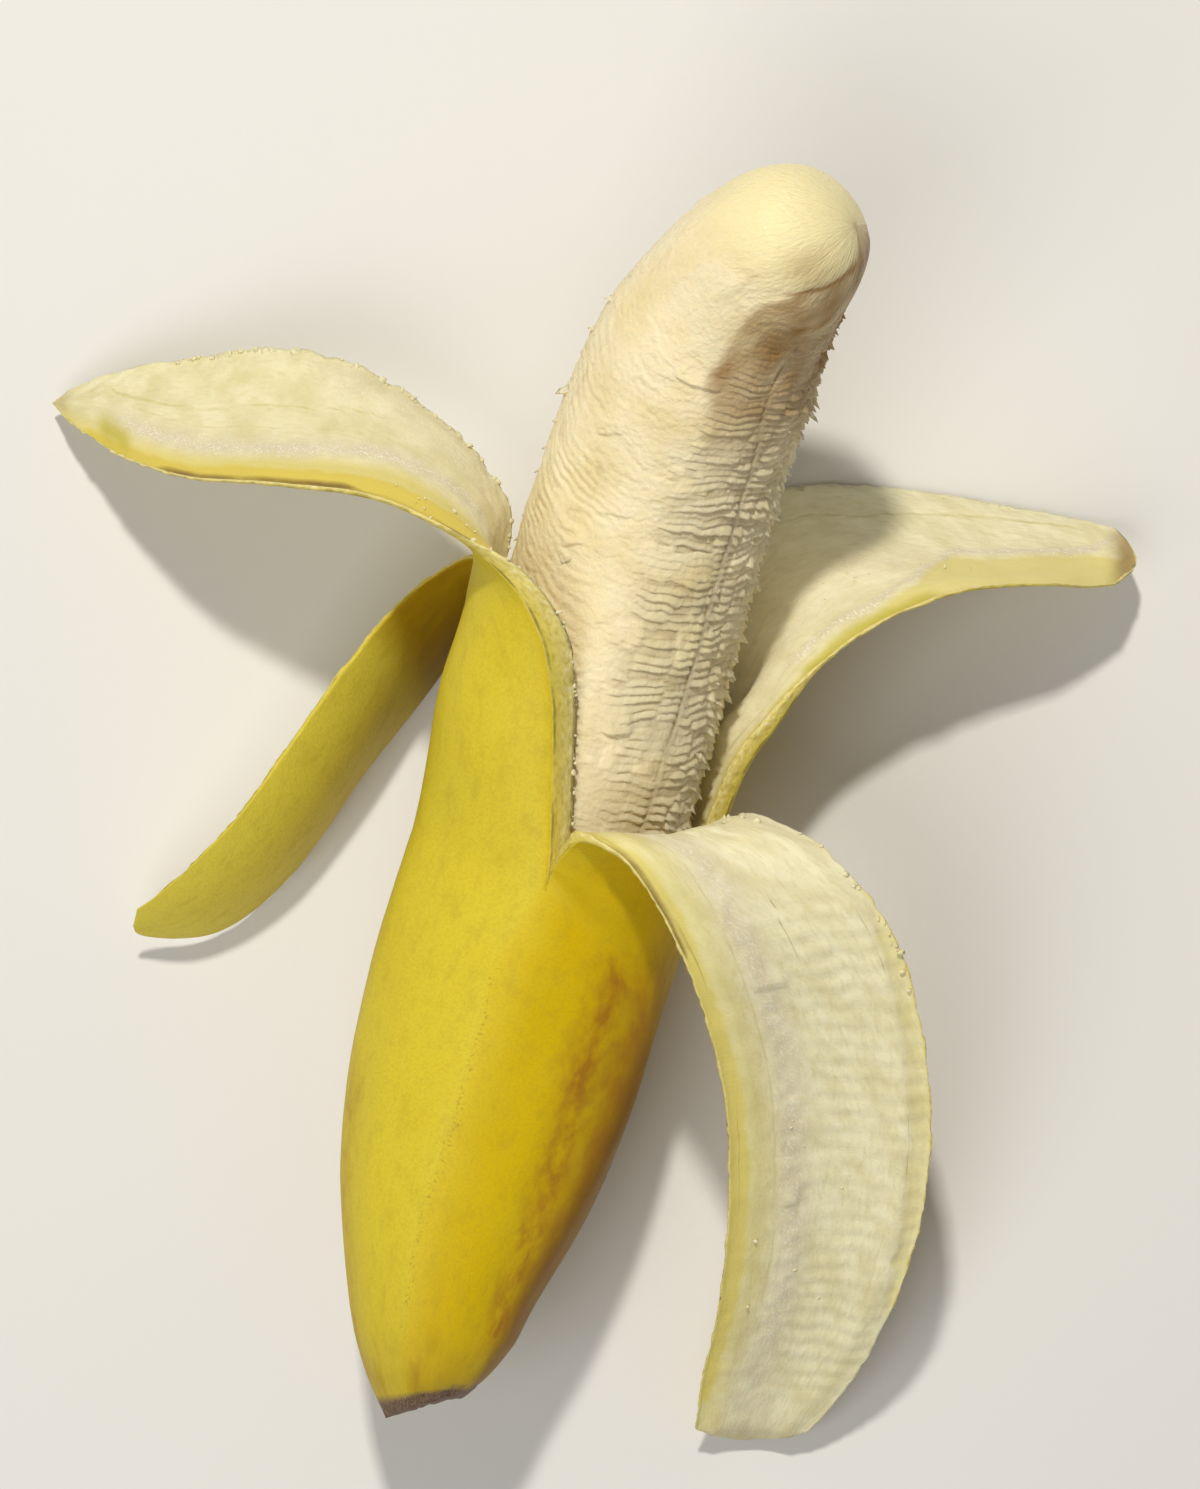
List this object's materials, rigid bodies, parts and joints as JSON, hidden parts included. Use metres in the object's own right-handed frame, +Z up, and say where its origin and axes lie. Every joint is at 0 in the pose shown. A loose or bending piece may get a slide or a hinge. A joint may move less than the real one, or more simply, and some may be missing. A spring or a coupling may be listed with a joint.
{
  "type": "peeled banana",
  "caption": "Half-peeled banana that lies on its back, with its flesh bared and the torn strips of skin folded outwards.",
  "frame": {"origin": "centre of the small flat spot under the skin's cup, on which the fruit lies", "axes": "+Z up, towards the side that shows in the picture; +Y from the stub to the bared tip; +X to the picture's right"},
  "size_m": [0.1504, 0.1709, 0.0656],
  "materials": {
    "skin": "waxy yellow banana skin, pale and fibrous inside",
    "flesh": "moist cream banana flesh with fine wrinkles"
  },
  "bodies": {
    "root": {"peel": "skin", "flesh": "flesh"}
  },
  "joints": []
}
